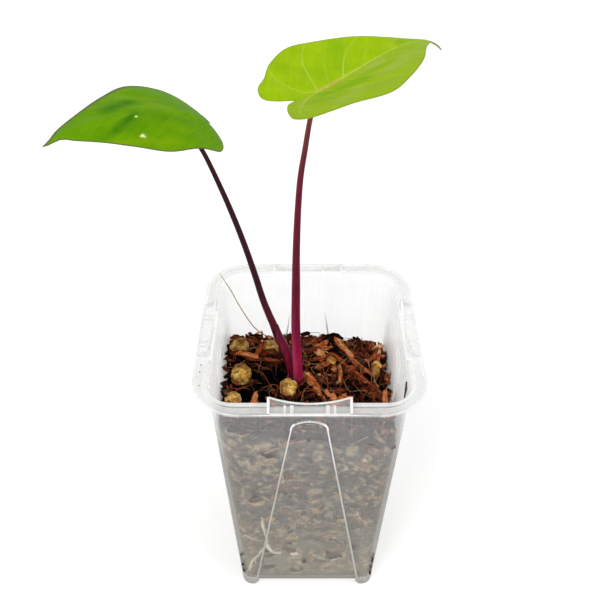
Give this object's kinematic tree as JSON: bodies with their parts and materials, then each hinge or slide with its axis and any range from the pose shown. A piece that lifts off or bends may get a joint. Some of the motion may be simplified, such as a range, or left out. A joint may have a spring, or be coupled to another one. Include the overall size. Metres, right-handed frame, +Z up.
{
  "type": "potted black stem alocasia",
  "caption": "Young black stem alocasia with heart-shaped leaves on dark purple petioles, growing in husk and pumice mix in a clear square nursery pot that stands on its own feet.",
  "frame": {"origin": "middle of the whole outline seen from above, on the ground under the pot's feet", "axes": "+Z up, from the ground to the leaves; -Y is the front of the pot, +X is the side that the right leaf leans to"},
  "size_m": [0.1156, 0.0852, 0.2275],
  "materials": {
    "clear_plastic": "clear polypropylene with a faint milky haze",
    "husk_mix": "damp red-brown coconut husk, bark and fibre",
    "white_root": "smooth, slightly waxy root",
    "crimson_petiole": "smooth, satin, crimson-purple",
    "purple_petiole": "smooth, satin, dark purple-brown",
    "lime_leaf": "smooth young leaf with a soft sheen and paler veins",
    "green_leaf": "smooth leaf with a waxy sheen and paler veins",
    "pumice": "rough, porous, tan",
    "dry_fibre": "dry pale-brown coir"
  },
  "bodies": {
    "root": {"pot": "clear_plastic", "potting_mix": "husk_mix", "corm_and_roots": "white_root", "petiole_right": "crimson_petiole", "petiole_left": "purple_petiole", "blade_right": "lime_leaf", "blade_left": "green_leaf", "pumice_left": "pumice", "pumice_front": "pumice", "pumice_front_left": "pumice", "pumice_back_left": "pumice", "pumice_middle": "pumice", "pumice_small": "pumice", "pumice_right": "pumice", "coir_strand": "dry_fibre"}
  },
  "joints": []
}
